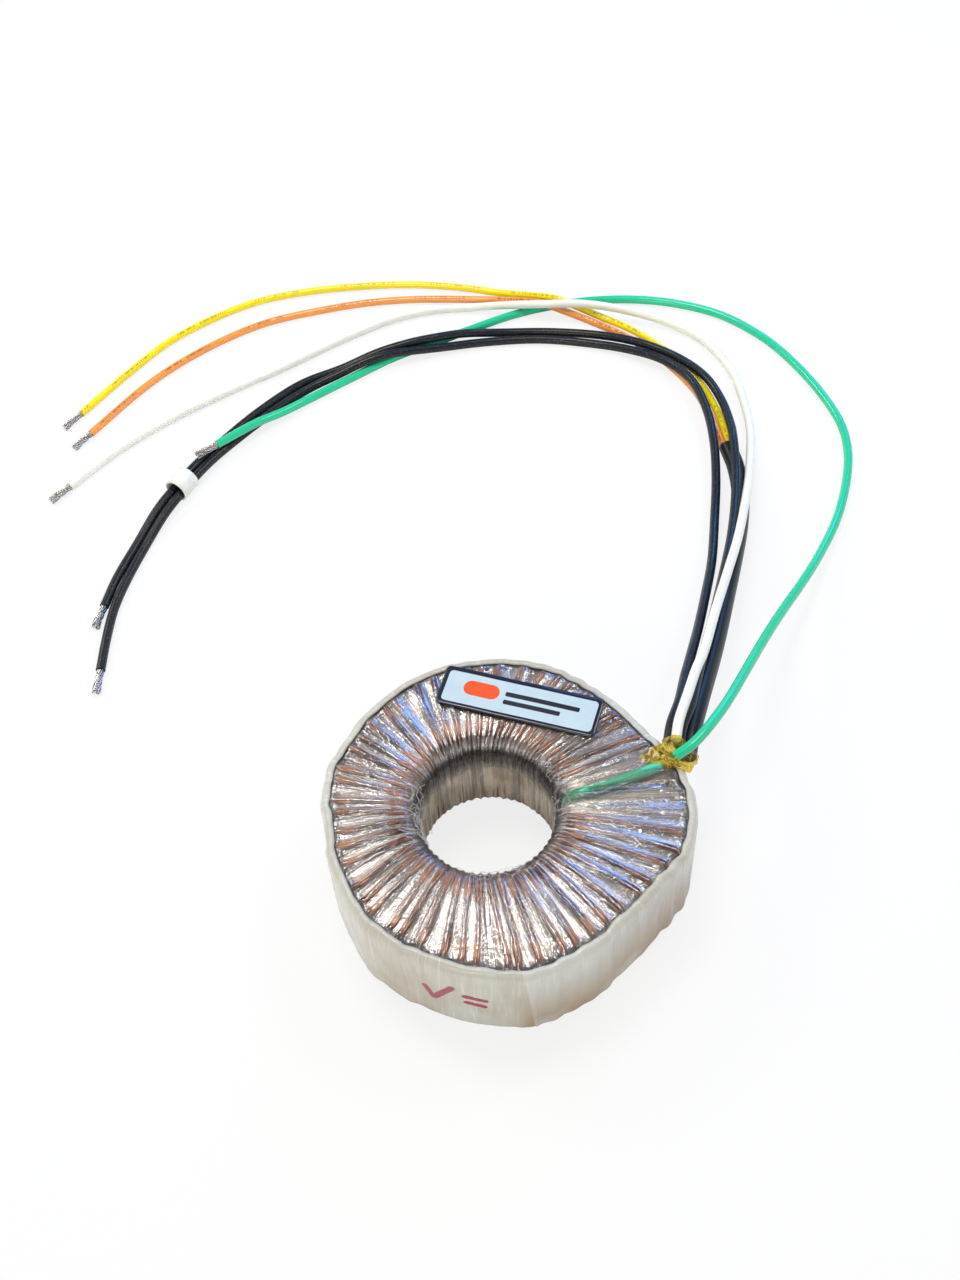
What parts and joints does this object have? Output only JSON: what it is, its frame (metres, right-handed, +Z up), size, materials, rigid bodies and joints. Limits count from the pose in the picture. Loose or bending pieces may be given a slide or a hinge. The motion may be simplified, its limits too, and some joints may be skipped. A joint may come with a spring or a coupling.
{
  "type": "toroidal lighting transformer",
  "caption": "Ring-shaped lighting transformer wrapped in clear film, with a side band, a label and coloured flying leads with bared ends, for fixing by a bolt through its hole.",
  "frame": {"origin": "middle of the wound ring's outline, on the surface that it lies on", "axes": "+Z up along the ring's axis; the six leads leave the rim at +X and trail off over +Y"},
  "size_m": [0.324, 0.3552, 0.0465],
  "materials": {
    "core_steel": "satin",
    "cap_plastic": "satin",
    "wrap_tape": "satin",
    "enamelled_wire": "gloss",
    "screen_copper": "satin",
    "padding": "soft",
    "black_insulation": "gloss",
    "flat_wire": "gloss",
    "green_insulation": "gloss",
    "clear_film": "wrinkled, gloss",
    "band_film": "creased, gloss",
    "amber_tape": "wrinkled, gloss",
    "label_film": "satin",
    "white_insulation": "gloss",
    "sleeve_plastic": "gloss",
    "yellow_insulation": "gloss",
    "orange_insulation": "gloss",
    "tinned_copper": "satin",
    "marker_plastic": "satin"
  },
  "bodies": {
    "root": {"core": "core_steel", "core_cap_lower": "cap_plastic", "core_cap_upper": "cap_plastic", "core_wrap": "wrap_tape", "primary_winding": "enamelled_wire", "primary_tape": "wrap_tape", "screen_foil": "screen_copper", "screen_tape": "wrap_tape", "joint_padding": "padding", "lead_joints": "black_insulation", "secondary_winding": "flat_wire", "green_tail": "green_insulation", "outer_film": "clear_film", "side_band": "band_film", "exit_tape": "amber_tape", "label": "label_film", "lead_black_a": "black_insulation", "lead_black_b": "black_insulation", "lead_white": "white_insulation", "lead_green": "green_insulation", "black_sleeve": "sleeve_plastic", "lead_yellow": "yellow_insulation", "lead_orange": "orange_insulation", "tip_black_a": "tinned_copper", "tip_black_b": "tinned_copper", "tip_white": "tinned_copper", "tip_green": "tinned_copper", "tip_yellow": "tinned_copper", "tip_orange": "tinned_copper", "marker_ring": "marker_plastic"}
  },
  "joints": []
}
